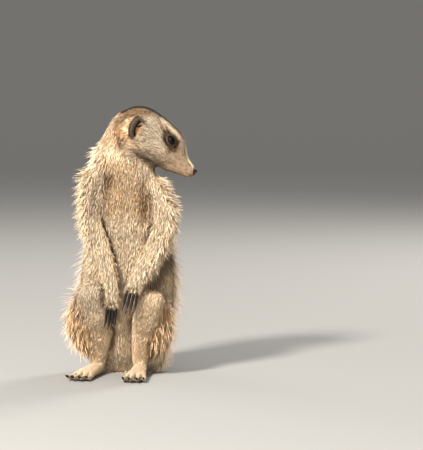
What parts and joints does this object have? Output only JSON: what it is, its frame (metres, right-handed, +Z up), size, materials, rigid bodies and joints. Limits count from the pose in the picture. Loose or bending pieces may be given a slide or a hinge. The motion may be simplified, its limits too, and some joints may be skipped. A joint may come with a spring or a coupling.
{
  "type": "meerkat",
  "caption": "Still life-size meerkat sitting upright on its haunches, forepaws hanging before the belly, head turned to its left, tail flat behind.",
  "frame": {"origin": "on the floor, under the middle of the part's bounding box", "axes": "+Z up; -Y is the way the chest faces, within about 12 degrees, and +Y the way the tail lies; +X is the animal's left, where the head is turned"},
  "size_m": [0.1146, 0.2764, 0.2362],
  "materials": {
    "coat_body": "sandy fur, darker and banded on the back",
    "coat_pale": "short pale fur of the face and feet",
    "coat_dark": "blackish fur of the tail tip",
    "ear_skin": "dark short-haired ear rim",
    "eye": "wet dark brown eye",
    "nose_skin": "moist dark brown nose leather",
    "claw": "smooth blackish horn"
  },
  "bodies": {
    "root": {"ear_left": "ear_skin", "ear_right": "ear_skin", "eye_left": "eye", "eye_right": "eye", "fore_left_claw_1": "claw", "fore_left_claw_2": "claw", "fore_left_claw_3": "claw", "fore_left_claw_4": "claw", "fore_right_claw_1": "claw", "fore_right_claw_2": "claw", "fore_right_claw_3": "claw", "fore_right_claw_4": "claw", "forearm_left": "coat_body", "forearm_right": "coat_body", "forepaw_left": "coat_pale", "forepaw_right": "coat_pale", "head": "coat_pale", "hind_foot_left": "coat_pale", "hind_foot_right": "coat_pale", "hind_left_claw_1": "claw", "hind_left_claw_2": "claw", "hind_left_claw_3": "claw", "hind_left_claw_4": "claw", "hind_right_claw_1": "claw", "hind_right_claw_2": "claw", "hind_right_claw_3": "claw", "hind_right_claw_4": "claw", "neck": "coat_body", "nose": "nose_skin", "shank_left": "coat_body", "shank_right": "coat_body", "tail_base": "coat_body", "tail_middle": "coat_body", "tail_tip": "coat_dark", "thigh_left": "coat_body", "thigh_right": "coat_body", "trunk": "coat_body", "upper_arm_left": "coat_body", "upper_arm_right": "coat_body"}
  },
  "joints": []
}
